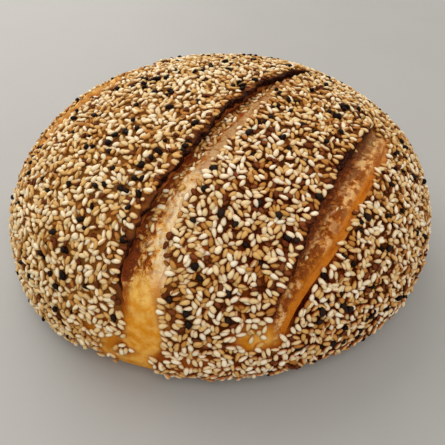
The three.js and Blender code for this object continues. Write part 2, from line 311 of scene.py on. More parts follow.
# A slash's torn floor: its depth times a power of the share left, plus a ridge and a rim, with lumps, crumb
# and drawn-out fibres of noise that fade where the floor is smooth. Also gives the masks of these.
def slashFloor(slash, number, past, share, along):
    skin, cut, seed = crustSkin, slashCut, seedStep * number
    ridge = cut["ridge"] * np.clip(1 - ((share - cut["ridgePlace"]) / cut["ridgeHalf"]) ** 2, 0, 1)
    floor = cut["rim"] * share + ridge - slash["depth"] * np.clip(1 - share, 0, 1) ** cut["floorPower"]
    inner = np.stack([np.clip(past, -1, 30), along, 0 * along + skin["layer"] * number], -1)
    turned = inner @ lumpWays
    swayed = share + skin["lateSway"] * latticeNoise(inner, skin["swaySize"], seed + 22)
    late = skin["smoothLate"] * (1 - easeStep(swayed, *skin["lateOut"]))
    late = late + skin["smoothWave"] * latticeNoise(inner, skin["waveSize"], seed + 23)
    smooth = easeStep(-along - late, *skin["smooth"])
    lumps = latticeNoise(turned, skin["lumpSize"], seed + 15)
    lumps = lumps + skin["fineLump"] * latticeNoise(inner, skin["lumpSize"] / 2, seed + 21)
    lumps = easeStep(lumps, *skin["lumpLevel"]) * easeStep(share, *skin["lumpIn"])
    lumps = lumps * (1 - easeStep(share, *skin["lumpOut"])) * (1 - smooth)
    strand = latticeNoise(inner * np.array([1, skin["fibreSquash"], 1]), skin["fibreSize"], seed + 16)
    strand = strand * easeStep(share, *skin["fibreIn"])
    crumb = skin["crumb"] + skin["lowCrumb"] * (1 - easeStep(share, *skin["lowCrumbOut"]))
    crumb = crumb * latticeNoise(turned, skin["crumbSize"], seed + 20) * easeStep(share, *skin["crumbIn"])
    floor = floor + skin["lump"] * lumps + skin["fibre"] * strand * (1 - skin["fibreWorn"] * smooth)
    floor = floor + crumb * (1 - skin["crumbWorn"] * smooth)
    beyond = cut["rim"] * np.clip(2 - share, 0, 1) ** 2
    return np.where(share <= 1, floor, beyond), {"lumps": lumps, "strand": strand, "smooth": smooth}


# Relief of the crust at places on the dome: swells of noise, and for each slash the ear's curl, a square over
# its reach, left of the edge and the floor right of it. Gives the rise, the lean across and the masks.
def crustRelief(p, places):
    skin, cut = crustSkin, slashCut
    along, height = p[..., 1], p[..., 2]
    swell = skin["swell"] * latticeNoise(p, skin["swellSize"], 1)
    dimple = skin["dimple"] * latticeNoise(p, skin["dimpleSize"], 2)
    rise = (swell + dimple) * easeStep(height, *skin["quiet"])
    lean = np.zeros(along.shape)
    worn = 1 - easeStep(-along, *skin["worn"])
    masks = {name: np.zeros(along.shape) for name in maskNames}
    for number, (slash, (past, share)) in enumerate(zip(slashes, places)):
        seed = seedStep * number
        opened = openness(slash, along, height)
        down = np.clip((past + cut["earGap"]) / (2 * cut["earGap"]), 0, 1)
        inside = (past > -cut["earGap"]) & (share <= 1)
        share = np.maximum(share, 0)
        curl = np.clip(1 + np.minimum(past, 0) / cut["earReach"], 0, 1) ** 2
        lifted = slash["lift"] * curl * unevenEdge("ear", along, seed + 11) * worn
        leant = slash["overhang"] * curl ** 2 * unevenEdge("edge", along, seed + 13) * worn
        hollow = cut["undercut"] * np.clip(1 - share / cut["undercutShare"], 0, 1)
        onWall = np.stack([along, skin["wallRoom"] * down, 0 * along], -1)
        torn = 4 * down * (1 - down) * skin["wallRough"] * latticeNoise(onWall, skin["wallSize"], seed + 18)
        floor, floorMasks = slashFloor(slash, number, past, share, along)
        floor = floor * (skin["wornFloor"] + (1 - skin["wornFloor"]) * worn)
        rise = rise + opened * ((1 - down) * lifted + down * floor)
        lean = lean + opened * ((1 - down) * leant - down * hollow + torn * worn)
        within = {
            "openShare": share, "slashMask": easeStep(opened, *cut["floorShows"]), "wallDown": down,
            "amber": slash["amber"], "char": slash["char"], **floorMasks,
            "rust": easeStep(along, slash["rustFrom"], slash["rustTo"]),
            "paleEnd": easeStep(along, slash["paleFrom"], slash["paleTo"]),
        }
        for name, values in within.items():
            masks[name] = np.where(inside, values, masks[name])
        shows = easeStep(opened, *cut["earShows"])
        beside = easeStep(past, -slash["seedGap"] - 1, -slash["seedGap"] + 1)
        honey = slash["honey"] * beside * (1 - easeStep(share, *skin["honeyOut"])) * shows
        scorch = earScorch(slash, number, past, down, along) * shows * worn
        masks["honey"] = np.maximum(masks["honey"], honey)
        masks["scorch"] = np.maximum(masks["scorch"], scorch)
    return rise, lean, masks


# Bare and thinly seeded places: azimuth and height of the middle, half widths, and the share kept bare.
barePatches = [
    {"turn": -110, "height": 30, "wide": 6.6, "tall": 23, "bare": 1.0},
    {"turn": -112, "height": 9, "wide": 10, "tall": 10, "bare": 0.97},
    {"turn": -121, "height": 21, "wide": 9, "tall": 9, "bare": 0.6},
    {"turn": -121, "height": 3, "wide": 22, "tall": 11, "bare": 0.97},
    {"turn": -81, "height": 28, "wide": 11, "tall": 6, "bare": 0.65},
    {"turn": -96, "height": 14, "wide": 22, "tall": 11, "bare": 0.25},
]
patchEdge = {"wobble": 0.35, "size": 5}  # how the patches' edges wander


# How bare the skin is at loaf places: for each patch its share times exp(-d^4), with d in half widths.
def patchBareness(q):
    turn = np.degrees(np.arctan2(q[..., 1], q[..., 0]))
    wobble = patchEdge["wobble"] * latticeNoise(q, patchEdge["size"], 31)
    bare = np.zeros(turn.shape)
    for patch in barePatches:
        arc = np.radians((turn - patch["turn"] + 180) % 360 - 180) * loafForm["radius"]
        far = np.hypot(arc / patch["wide"], (q[..., 2] - patch["height"]) / patch["tall"]) + wobble
        bare = np.maximum(bare, patch["bare"] * np.exp(-np.clip(far, 0, 4) ** 4))
    return bare


# The place in plan where the loaf is darkest, partly baked darkest and partly painted shade on the side away
# from the light, and how far round it the dark reaches.
darkBakeAndShade = {"x": 26, "y": -61, "near": 10, "far": 100}


# How pale the loaf is at loaf places, partly a lighter bake and partly painted light towards the lit back and
# left: an S-curve of the plan distance from the darkest place.
def palenessAndLight(q):
    away = np.hypot(q[..., 0] - darkBakeAndShade["x"], q[..., 1] - darkBakeAndShade["y"])
    return easeStep(away, darkBakeAndShade["near"], darkBakeAndShade["far"])


# Puts arrays into a new mesh object: points, corners of its faces and how many corners each face has.
def meshPiece(name, points, corners, counts, smooth=True):
    mesh = bpy.data.meshes.new(name)
    mesh.vertices.add(len(points))
    mesh.vertices.foreach_set("co", (np.asarray(points) * mm).astype(np.float32).ravel())
    mesh.loops.add(len(corners))
    mesh.loops.foreach_set("vertex_index", np.asarray(corners, np.int32))
    mesh.polygons.add(len(counts))
    starts = np.concatenate([[0], np.cumsum(counts)[:-1]])
    mesh.polygons.foreach_set("loop_start", starts.astype(np.int32))
    mesh.polygons.foreach_set("loop_total", np.asarray(counts, np.int32))
    mesh.polygons.foreach_set("use_smooth", np.full(len(counts), smooth))
    mesh.update(calc_edges=True)
    mesh.validate()
    piece = bpy.data.objects.new(name, mesh)
    bpy.context.scene.collection.objects.link(piece)
    return piece


# Keeps one number for each point of a piece, for its finish to read.
def keepNumbers(piece, name, values):
    layer = piece.data.attributes.new(name, "FLOAT", "POINT")
    layer.data.foreach_set("value", np.asarray(values, np.float32).ravel())


# A UV map for each corner of a piece's faces.
def keepMap(piece, places):
    layer = piece.data.uv_layers.new(name="OFBake", do_init=False)
    layer.data.foreach_set("uv", np.asarray(places, np.float32).ravel())


# Says what a piece rides on, and hides the solid that it stands for.
def join(piece):
    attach(piece, "root")
    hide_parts("loaf")


# The crust's grid: slices across, close together at the slashes, with points round each, and the two disks
# of its map.
crustGrid = {
    "slices": 236, "around": 408, "upperShare": 0.86, "samples": 20001,
    "slashWeight": 5.5, "slashIn": (-0.5, -0.1), "slashOut": (1.05, 1.4),
    "edgeWeight": 9, "earSpread": 0.07, "rimSpread": 0.05, "wallRows": 6, "wallClear": 3,
    "wallRoom": 4, "domeDisk": 0.44, "baseDisk": 0.14, "baseLevel": 1e-6,
}


# Places across for the slices: spread evenly by a density that is 1 over the dome, more in each slash and
# most at its two edges, with a few slices close together at each ear, from its lip down its wall.
def slicePlaces():
    grid = crustGrid
    across = -loafForm["radius"] * np.cos(np.linspace(0, np.pi, grid["samples"]))
    density = np.ones(across.shape)
    for slash in slashes:
        share = (across - slash["ear"]) / slash["width"]
        inside = easeStep(share, *grid["slashIn"]) * (1 - easeStep(share, *grid["slashOut"]))
        ear = np.exp(-((share / grid["earSpread"]) ** 2))
        rim = np.exp(-(((share - 1) / grid["rimSpread"]) ** 2))
        density += grid["slashWeight"] * inside
        density += grid["edgeWeight"] * (ear + rim)
    total = np.cumsum(density)
    total = (total - total[0]) / (total[-1] - total[0])
    ears = np.array([slash["ear"] for slash in slashes], float)
    count = grid["slices"] - grid["wallRows"] * len(ears)
    even = np.interp(np.linspace(0, 1, count + 2)[1:-1], total, across)
    even = even[np.abs(even[:, None] - ears).min(1) > grid["wallClear"] * slashCut["earGap"]]
    walls = ears[:, None] + slashCut["earGap"] * np.linspace(-1, 1, grid["wallRows"])
    return np.sort(np.concatenate([even, walls.ravel()]))


# The crust as one closed surface: slices of the dome at places across and angles round, pushed by the
# slashes and raised by the relief, with a pole at each end.
def makeCrust():
    grid = crustGrid
    across = slicePlaces()[:, None]
    upper = int(grid["around"] * grid["upperShare"])
    angle = np.concatenate([
        np.linspace(0, np.pi, upper, endpoint=False),
        np.linspace(np.pi, 2 * np.pi, grid["around"] - upper, endpoint=False),
    ])[None, :]
    along = sliceDome(across, angle)[..., 1]
    pushed = pushedAcross(across, along)
    dome = sliceDome(pushed, np.broadcast_to(angle, pushed.shape))
    nominal = np.broadcast_to(across, pushed.shape)
    places = [(nominal - slash["ear"], (nominal - slash["ear"]) / slash["width"]) for slash in slashes]
    spot = np.concatenate([nominal[..., None], along[..., None], dome[..., 2:]], -1)
    rise, lean, masks = crustRelief(spot, places)
    rise[dome[..., 2] < grid["baseLevel"]] = 0
    skin = dome + domeNormal(dome) * rise[..., None]
    skin[..., 0] += lean
    points = toLoaf(skin)
    masks["bare"] = patchBareness(points)
    masks["palely"] = palenessAndLight(points)
    ends = toLoaf(np.array([[side * loafForm["radius"], 0, loafForm["belly"]] for side in (-1, 1)]))
    slices, around = pushed.shape
    index = np.arange(slices * around).reshape(slices, around)
    after = np.roll(index, -1, axis=1)
    quads = np.stack([index[:-1], after[:-1], after[1:], index[1:]], -1).reshape(-1, 4)
    leftFan = np.stack([np.full(around, slices * around), after[0], index[0]], -1)
    rightFan = np.stack([np.full(around, slices * around + 1), index[-1], after[-1]], -1)
    corners = np.concatenate([quads.ravel(), leftFan.ravel(), rightFan.ravel()])
    counts = np.concatenate([np.full(len(quads), 4), np.full(2 * around, 3)])
    piece = meshPiece("crust", np.concatenate([points.reshape(-1, 3), ends]), corners, counts)
    for name, values in masks.items():
        keepNumbers(piece, name, np.concatenate([values.ravel(), [0, 0]]))
    keepMap(piece, crustMap(dome, ends, places, corners, counts))
    return piece


# The crust's map: the dome opened out round its crown into a disk, by the angle from the belly's middle,
# with room made for each ear's wall, and the flat base as a smaller disk.
def crustMap(dome, ends, places, corners, counts):
    grid = crustGrid
    spread = dome.copy()
    for slash, (past, _) in zip(slashes, places):
        opened = openness(slash, dome[..., 1], dome[..., 2])
        fade = 1 - easeStep(past - slash["width"], 0, slashCut["ease"])
        spread[..., 0] += np.where(past > 0, grid["wallRoom"] * opened * fade, 0)
    flat = np.concatenate([spread.reshape(-1, 3), toSlashes(ends)])
    tilt = np.arctan2(np.hypot(flat[:, 0], flat[:, 1]), flat[:, 2] - loafForm["belly"])
    turn = np.arctan2(flat[:, 1], flat[:, 0])
    ways = np.stack([np.cos(turn), np.sin(turn)], -1)
    onDome = grid["domeDisk"] + ways * (tilt / tilt.max() * grid["domeDisk"])[:, None]
    baseSpan = np.hypot(flat[:, 0], flat[:, 1]).max()
    onBase = 1 - grid["baseDisk"] + flat[:, :2] / baseSpan * grid["baseDisk"]
    highest = np.maximum.reduceat(flat[corners, 2], np.concatenate([[0], np.cumsum(counts)[:-1]]))
    baseCorner = np.repeat(highest < grid["baseLevel"], counts)
    return np.where(baseCorner[:, None], onBase[corners], onDome[corners])


# The seeds' coat: how many are strewn, their size in millimetres, how they settle, how they keep clear of the
# slashes or are caught in them, and how they lie. Pairs are the start and stop of an S-curve or of a draw.
seedCoat = {
    "strewn": 16800, "shake": 0.6, "seed": 451, "lowest": 2.0,
    "length": 3.25, "width": 1.74, "thickness": 1.25, "spread": 0.1, "slimness": 0.12,
    "taper": 0.3, "taperSpread": 0.1, "smallest": 0.82, "smallFrom": -75, "smallTo": 30,
    "darkShare": 0.94, "paleShare": 0.06, "swept": 0.95, "sweptBare": (0.45, 0.9),
    "rounds": 80, "push": 0.5, "mostPush": 0.6, "turnPush": 0.35, "squeeze": 0.92, "armReach": 1.05,
    "ownPower": 1.5, "nearOwn": 0.8, "lipShare": 0.5, "leftShare": 0.45, "farSide": -0.3, "farOwn": 2.0,
    "farRagged": 1.2, "raggedSize": 9, "farTear": 0.7, "tearSize": 3,
    "caughtIn": (0.05, 0.2), "caughtOut": (0.5, 0.7), "caughtFront": (56, 68),
    "heldFrom": 0.14, "heldTo": 0.6, "crumbSize": (0.6, 0.95), "crumbAcross": (0.1, 0.62),
    "crumbFront": 14, "crumbBack": 6, "crumbFirst": -68,
    "under": 0.2, "underRoom": 0.5, "underSunk": 0.3, "sunk": 0.12, "stuckSunk": 0.2,
    "climb": 0.7, "mostClimb": 1.0, "tilt": 0.2, "skinStep": 0.3, "clearance": 0.1,
}
# Kinds of seed: their size and roundness against the usual, their share of the coat, and what each pull of a
# place makes of it: any place, toasted, stuck in a slash, in the under layer, in the dark spot at the front
# right (dark bake and painted shade), beside a charred ear, in clumps, or on bare crust.
seedKinds = [
    {
        "name": "ivorySeeds", "slot": "ivory_seed", "long": 1.03, "wide": 1.04, "thick": 1.05,
        "knobbly": 0.03, "share": 0.235, "toasty": -0.6, "stuck": -1.5, "under": -2.5,
    },
    {
        "name": "creamSeeds", "slot": "ivory_seed", "long": 1.0, "wide": 1.0, "thick": 1.0, "knobbly": 0.04,
        "share": 0.238, "toasty": -0.2, "stuck": -0.3, "under": -0.4,
    },
    {
        "name": "strawSeeds", "slot": "toasted_seed", "long": 0.97, "wide": 0.97, "thick": 1.0,
        "knobbly": 0.04, "share": 0.235, "toasty": 0.2, "stuck": 0.3, "under": 0.3,
    },
    {
        "name": "toastedSeeds", "slot": "toasted_seed", "long": 0.95, "wide": 0.95, "thick": 0.95,
        "knobbly": 0.05, "share": 0.145, "any": -0.2, "toasty": 0.8, "stuck": 0.3, "under": 0.4, "bare": -9,
    },
    {
        "name": "brownSeeds", "slot": "brown_seed", "long": 0.92, "wide": 1.0, "thick": 0.98, "knobbly": 0.07,
        "share": 0.08, "any": -0.2, "toasty": 0.9, "stuck": -9, "under": 0.6, "dark": 0.3, "bare": -9,
    },
    {
        "name": "blackSeeds", "slot": "black_seed", "long": 0.9, "wide": 1.2, "thick": 1.35, "knobbly": 0.12,
        "share": 0.045, "any": -0.1, "stuck": -9, "under": -0.5, "charred": 0.9, "clumps": 1.3, "bare": -9,
    },
]


# Places spread evenly over the dome: a golden-angle spiral from the crown down, each place given an equal
# band of the dome's area, then shaken a little.
def strewnPlaces(count, draw):
    tilt = np.linspace(0, np.pi * 0.75, 1500)  # from the crown past the foot
    profile = ontoDome(np.stack([np.sin(tilt), 0 * tilt, loafForm["belly"] + np.cos(tilt)], -1))
    profile = profile[profile[:, 2] > seedCoat["lowest"]]
    tilt = tilt[:len(profile)]
    step = np.linalg.norm(np.diff(profile, axis=0), axis=1)
    area = np.concatenate([[0], np.cumsum(step * (profile[1:, 0] + profile[:-1, 0]))])
    each = np.interp((np.arange(count) + 0.5) / count * area[-1], area, tilt)
    turn = np.arange(count) * np.pi * (3 - np.sqrt(5))
    ways = np.stack([np.sin(each) * np.cos(turn), np.sin(each) * np.sin(turn), np.cos(each)], -1)
    ways[:, 2] += loafForm["belly"]
    return ontoDome(ontoDome(ways) + draw.normal(0, seedCoat["shake"], (count, 3)))


# Pairs of nearby points by sorting them into cubes: each point is matched with those in its own cube
# and in the 26 round it, each pair once.
def nearPairs(points, reach):
    cell = np.floor((points - points.min(0)) / reach).astype(np.int64) + 1
    span = cell.max(0) + 2
    key = (cell[:, 0] * span[1] + cell[:, 1]) * span[2] + cell[:, 2]
    order = np.argsort(key, kind="stable")
    ranked = key[order]
    firsts, seconds = [], []
    for step in np.ndindex(3, 3, 3):
        jump = ((step[0] - 1) * span[1] + step[1] - 1) * span[2] + step[2] - 1
        if jump < 0:
            continue
        start = np.searchsorted(ranked, ranked + jump, "left")
        stop = np.searchsorted(ranked, ranked + jump, "right")
        count = stop - start
        first = np.repeat(np.arange(len(ranked)), count)
        second = np.arange(count.sum()) - np.repeat(np.cumsum(count) - count, count) + np.repeat(start, count)
        keep = second > first if jump == 0 else np.ones(len(first), bool)
        firsts.append(order[first[keep]])
        seconds.append(order[second[keep]])
    return np.concatenate(firsts), np.concatenate(seconds)


# Sums of vectors by number: one bin count for each coordinate.
def sumBy(number, vectors, count):
    return np.stack([np.bincount(number, vectors[:, axis], count) for axis in range(3)], -1)


# Overlaps of seeds laid as rows of three balls: which two balls touch, by how much, and which way.
def seedOverlaps(place, heading, half, ball):
    count = len(place)
    offsets = np.array([-1.0, 0, 1])
    balls = (place[:, None] + offsets[None, :, None] * (heading * half[:, None])[:, None]).reshape(-1, 3)
    owner = np.repeat(np.arange(count), 3)
    arm = np.tile(offsets, count)
    first, second = nearPairs(balls, 2 * ball.max())
    apart = owner[first] != owner[second]
    first, second = first[apart], second[apart]
    between = balls[first] - balls[second]
    distance = np.maximum(np.linalg.norm(between, axis=1), 1e-6)
    overlap = ball[owner[first]] + ball[owner[second]] - distance
    touching = overlap > 0
    first, second, overlap = first[touching], second[touching], overlap[touching]
    way = between[touching] / distance[touching, None]
    return owner[first], arm[first], owner[second], arm[second], overlap, way


# Moves places out of the slashes: left past part of the scorched lip or right past the ragged far edge, as
# the share across says, each seed by a little more of its own. Seeds caught in a slash are held on its floor.
def outOfSlashes(place, caught, own):
    coat = seedCoat
    for number, slash in enumerate(slashes):
        along = place[:, 1]
        past = againstSlash(slash, place)[0]
        width = widthAt(slash, along)
        opened = openness(slash, along, place[:, 2]) > slashCut["clearFrom"]
        left = -slash["seedGap"] - coat["lipShare"] * lipWidth(slash, number, along) - coat["nearOwn"] * own
        ragged = edgeNoise(along, coat["raggedSize"], 40 + number)
        ragged = ragged + coat["farTear"] * edgeNoise(along, coat["tearSize"], 45 + number)
        far = width + coat["farSide"] + coat["farRagged"] * ragged + coat["farOwn"] * own
        stray = opened & (caught < 0) & (past > left) & (past < far)
        held = np.clip(past, coat["heldFrom"] * width, coat["heldTo"] * width)
        place[:, 0] += np.where(stray, np.where(past < width * coat["leftShare"], left, far) - past, 0)
        place[:, 0] += np.where(caught == number, held - past, 0)
    return place


# Lets the seeds settle: each round, overlapping balls push their seeds apart and turn them, and the seeds
# are put back onto the dome, above its foot and out of the slashes.
def settle(place, heading, half, ball, caught, own):
    coat = seedCoat
    count = len(place)
    for turnRound in range(coat["rounds"]):
        one, oneArm, two, twoArm, overlap, way = seedOverlaps(place, heading, half, ball * coat["squeeze"])
        force = way * (0.5 * overlap)[:, None]
        move = sumBy(one, force, count) - sumBy(two, force, count)
        twist = sumBy(one, force * oneArm[:, None], count) - sumBy(two, force * twoArm[:, None], count)
        size = np.linalg.norm(move, axis=1, keepdims=True)
        move *= np.minimum(1, coat["mostPush"] / np.maximum(size, 1e-9))
        place = ontoDome(outOfSlashes(ontoDome(place + coat["push"] * move), caught, own))
        place[:, 2] = np.maximum(place[:, 2], coat["lowest"])
        place = ontoDome(place)
        heading = squareTo(heading + coat["turnPush"] * twist / half[:, None], domeNormal(place))
    return place, heading


# The skin under places on the dome: relief added along the normal, the ear's lean added across.
def skinUnder(place):
    rise, lean, _ = crustRelief(place, [againstSlash(slash, place) for slash in slashes])
    skin = place + domeNormal(place) * rise[:, None]
    skin[:, 0] += lean
    return toLoaf(skin)


# Size of the seeds against the usual: they get smaller from the loaf's front to its back by an S-curve.
def seedScale(place):
    coat = seedCoat
    return 1 - (1 - coat["smallest"]) * easeStep(toLoaf(place)[:, 1], coat["smallFrom"], coat["smallTo"])


# Which strewn seeds stay: thinned where seeds are larger, a little in the dark bake and by the bare patches,
# and inside a slash only the few that it caught. Gives the places and the slash that caught each, or -1.
def thinned(place, draw):
    coat = seedCoat
    onLoaf = toLoaf(place)
    room = (coat["smallest"] / seedScale(place)) ** 2
    room = room * (1 - patchBareness(onLoaf)) * (coat["darkShare"] + coat["paleShare"] * palenessAndLight(onLoaf))
    kept = draw.random(len(place)) < room
    caught = np.full(len(place), -1)
    for number, slash in enumerate(slashes):
        share = againstSlash(slash, place)[1]
        opened = openness(slash, place[:, 1], place[:, 2]) > slashCut["clearFrom"]
        within = opened & (share > 0) & (share < 1)
        chance = slash["caught"] * easeStep(share, *coat["caughtIn"])
        chance = chance * (1 - easeStep(share, *coat["caughtOut"]))
        chance = chance * (1 - easeStep(-place[:, 1], *coat["caughtFront"]))
        lucky = within & (draw.random(len(place)) < chance)
        kept &= ~within | lucky
        caught[lucky] = number
    return place[kept], caught[kept]


# Crumbs and small seeds stuck in the slashes: even draws along each one and across the low part of its floor,
# lifted to the dome's height there.
def crumbPlaces(draw):
    coat = seedCoat
    places, caught = [], []
    for number, slash in enumerate(slashes):
        count = slash["crumbs"]
        first = max(slash["front"] + coat["crumbFront"], coat["crumbFirst"])
        along = draw.uniform(first, slash["back"] - coat["crumbBack"], count)
        share = draw.uniform(*coat["crumbAcross"], count)
        across = slash["ear"] + earDrift(slash, along) + share * widthAt(slash, along)
        flat = (np.hypot(across, along) / loafForm["radius"]) ** loafForm["power"]
        reach = loafForm["crown"] - loafForm["belly"]
        height = loafForm["belly"] + reach * np.clip(1 - flat, 0, 1) ** (1 / loafForm["power"])
        places.append(np.stack([across, along, height], -1))
        caught.append(np.full(count, number))
    return np.concatenate(places), np.concatenate(caught)


# How toasted a place is: patches and speckles of noise, more towards the back and beside an ear, less where
# the loaf is paler, partly a lighter bake and partly painted light on the lit back and left.
toasting = {
    "patch": 0.6, "patchSize": 16, "speckle": 0.5, "speckleSize": 5, "clumpSize": 7, "less": 0.2,
    "back": 0.4, "backFrom": -50, "backTo": 40, "ear": 1.2, "earSide": (-4, -1), "pale": 0.6,
    "bare": (0.02, 0.2),
}


# A kind for each seed: the logarithm of its share, plus each pull of the seed's place times what the kind
# makes of it, plus Gumbel noise, and the largest wins.
def chooseKinds(place, stuck, under, draw):
    toast = toasting
    along = place[:, 1]
    near, charred = np.zeros(len(place)), np.zeros(len(place))
    for slash in slashes:
        past = againstSlash(slash, place)[0]
        beside = openness(slash, along, place[:, 2]) * easeStep(past, *toast["earSide"]) * (past < 0)
        near, charred = near + beside, charred + slash["char"] * beside
    palely = palenessAndLight(toLoaf(place))
    toasty = toast["patch"] * latticeNoise(place, toast["patchSize"], 51) - toast["less"]
    toasty += toast["speckle"] * latticeNoise(place, toast["speckleSize"], 52)
    toasty += toast["back"] * easeStep(along, toast["backFrom"], toast["backTo"])
    toasty += toast["ear"] * near - toast["pale"] * palely
    pulls = {
        "any": np.ones(len(place)), "toasty": toasty, "stuck": stuck, "under": under, "dark": 1 - palely,
        "charred": charred, "clumps": latticeNoise(place, toast["clumpSize"], 53),
        "bare": easeStep(patchBareness(toLoaf(place)), *toast["bare"]),
    }
    score = np.log([each["share"] for each in seedKinds]) + draw.gumbel(0, 1, (len(place), len(seedKinds)))
    for name, pull in pulls.items():
        score += pull[:, None] * np.array([each.get(name, 0) for each in seedKinds])
    return score.argmax(1)


# Shares round 1: normal draws, held within two spreads.
def varied(spread, count, draw):
    return 1 + spread * np.clip(draw.normal(0, 1, count), -2, 2)


# Seeds laid on the skin: the skin under each, and its axes, up by the cross product of two short steps over
# the skin and tilted by a normal draw, forward along the first step.
def seedAxes(place, heading, unsteady, draw):
    coat = seedCoat
    aside = np.cross(domeNormal(place), heading)
    skin = skinUnder(place)
    ahead, aside = (skinUnder(ontoDome(place + coat["skinStep"] * way)) - skin for way in (heading, aside))
    up = unit(np.cross(ahead, aside))
    up = unit(up + coat["tilt"] * unsteady[:, None] * draw.normal(0, 1, up.shape))
    front = squareTo(ahead, up)
    return skin, np.stack([front, np.cross(up, front), up], 1)


# Strews, settles and lays the coat: where each seed lies, its three axes, its size, kind and tone.
def layCoat():
    coat = seedCoat
    draw = np.random.default_rng(coat["seed"])
    place, caught = thinned(strewnPlaces(coat["strewn"], draw), draw)
    crumb, crumbCaught = crumbPlaces(draw)
    place, caught = np.concatenate([place, crumb]), np.concatenate([caught, crumbCaught])
    count = len(place)
    small = np.where(np.arange(count) < count - len(crumb), 1, draw.uniform(*coat["crumbSize"], count))
    own = draw.random(count) ** coat["ownPower"]
    stuck = (caught >= 0).astype(float)
    under = (draw.random(count) < coat["under"]) * (1 - stuck)
    kind = chooseKinds(place, stuck, under, draw)
    sizes = ("long", "wide", "thick", "knobbly")
    look = {key: np.array([each[key] for each in seedKinds])[kind] for key in sizes}
    size = seedScale(place) * small * varied(coat["spread"], count, draw)
    slim = varied(coat["slimness"], count, draw)
    long = coat["length"] * look["long"] * size * slim ** 0.5
    wide = coat["width"] * look["wide"] * size / slim ** 0.5
    thick = coat["thickness"] * look["thick"] * size
    heading = unit(np.cross(domeNormal(place), draw.normal(0, 1, (count, 3))))
    room = 1 - (1 - coat["underRoom"]) * under
    ball = wide / 2 * room
    half = (long - wide) / 2 * coat["armReach"] * room
    place, heading = settle(place, heading, half, ball, caught, own)
    bare = patchBareness(toLoaf(place))
    shown = draw.random(count) > coat["swept"] * easeStep(bare, *coat["sweptBare"])
    one, _, two, _, overlap, _ = seedOverlaps(place, heading, half, ball)
    rank = draw.random(count)
    upper = np.where(rank[one] > rank[two], one, two)
    climb = np.minimum(np.bincount(upper, overlap, count) * coat["climb"], coat["mostClimb"]) * (1 - under)
    skin, axes = seedAxes(place, heading, 1 + climb + stuck, draw)
    sunk = coat["sunk"] + coat["underSunk"] * under + coat["stuckSunk"] * stuck
    middle = skin + axes[:, 2] * (thick * (0.5 - sunk) + climb)[:, None]
    halves = np.stack([long, wide, thick], -1) / 2
    shown &= middle[:, 2] - np.linalg.norm(halves * axes[:, :, 2], axis=1) > coat["clearance"]
    print("seeds laid:", count, "of them caught in slashes", int(stuck.sum()))
    return {
        "middle": middle, "axes": axes, "long": long, "wide": wide, "thick": thick,
        "kind": np.where(shown, kind, -1), "knobbly": look["knobbly"], "tone": draw.random(count),
        "palely": palenessAndLight(middle), "draw": draw,
        "taper": coat["taper"] + coat["taperSpread"] * draw.normal(0, 1, count),
    }


# How finely one seed is faceted.
seedFacets = {"around": 7, "rings": 4}


# Seeds of one kind as one mesh: each a drop whose half width is sqrt(1 - x^2) times a taper to its tip,
# flattened, roughened by the draw and carried to its own axes.
def makeSeeds(kind, number, coat):
    around, rings = seedFacets["around"], seedFacets["rings"]
    pick = np.flatnonzero(coat["kind"] == number)
    count = len(pick)
    polar = np.linspace(0, np.pi, rings + 2)[1:-1]
    turn = np.linspace(0, 2 * np.pi, around, endpoint=False)
    ringX = -np.cos(polar)
    x = np.concatenate([np.repeat(ringX, around), [-1, 1]])
    radius = np.concatenate([np.repeat(np.sin(polar), around), [0, 0]])
    y = radius * np.concatenate([np.tile(np.cos(turn), rings), [0, 0]])
    z = radius * np.concatenate([np.tile(np.sin(turn), rings), [0, 0]])
    taper = 1 - coat["taper"][pick, None] * x[None, :]
    knobbly = 1 + coat["knobbly"][pick, None] * coat["draw"].normal(0, 1, (count, len(x)))
    local = np.stack([
        np.broadcast_to(x, taper.shape) * coat["long"][pick, None] / 2,
        y * taper * knobbly * coat["wide"][pick, None] / 2,
        z * taper * knobbly * coat["thick"][pick, None] / 2,
    ], -1)
    points = np.einsum("nvi,nij->nvj", local, coat["axes"][pick]) + coat["middle"][pick, None]
    each = len(x)
    ring = np.arange(rings * around).reshape(rings, around)
    after = np.roll(ring, -1, axis=1)
    quads = np.stack([ring[:-1], ring[1:], after[1:], after[:-1]], -1).reshape(-1, 4)
    blunt = np.stack([np.full(around, rings * around), ring[0], after[0]], -1)
    tip = np.stack([np.full(around, rings * around + 1), after[-1], ring[-1]], -1)
    oneSeed = np.concatenate([quads.ravel(), blunt.ravel(), tip.ravel()])
    corners = (oneSeed[None] + each * np.arange(count)[:, None]).ravel()
    counts = np.tile(np.concatenate([np.full(len(quads), 4), np.full(2 * around, 3)]), count)
    piece = meshPiece(kind["name"], points.reshape(-1, 3), corners, counts)
    keepNumbers(piece, "tone", np.repeat(coat["tone"][pick], each))
    keepNumbers(piece, "palely", np.repeat(coat["palely"][pick], each))
    keepNumbers(piece, "along", np.tile(x, count))
    # the height across each seed, which the finish reads for the painted shade down its sides
    keepNumbers(piece, "under", np.tile(z, count))
    keepMap(piece, seedMap(count, around, rings))
    join(piece)
    print("seeds made:", kind["name"], count, "with", count * 2 * around * rings, "triangles")
    return piece


# The seeds' map: a cell of a square sheet for each seed, its rings up the cell and its turn across it.
def seedMap(count, around, rings):
    column = np.arange(around)
    row = np.arange(1, rings)
    quadU = np.stack([column, column, column + 1, column + 1], -1)[None] + 0 * row[:, None, None]
    quadV = np.stack([row, row + 1, row + 1, row], -1)[:, None] + 0 * column[None, :, None]
    fan = np.stack([column + 0.5, column, column + 1], -1)
    fanBack = np.stack([column + 0.5, column + 1, column], -1)
    u = np.concatenate([quadU.ravel(), fan.ravel(), fanBack.ravel()]) / around
    low = np.tile([0, 1, 1], around)
    high = np.tile([rings + 1, rings, rings], around)
    v = np.concatenate([quadV.ravel(), low, high]) / (rings + 1)
    cells = int(np.ceil(np.sqrt(count)))
    number = np.arange(count)
    margin = 0.06
    places = margin + (1 - 2 * margin) * np.stack([u, v], -1)
    corner = np.stack([number % cells, number // cells], -1)
    return ((corner[:, None] + places[None]) / cells).reshape(-1, 2)


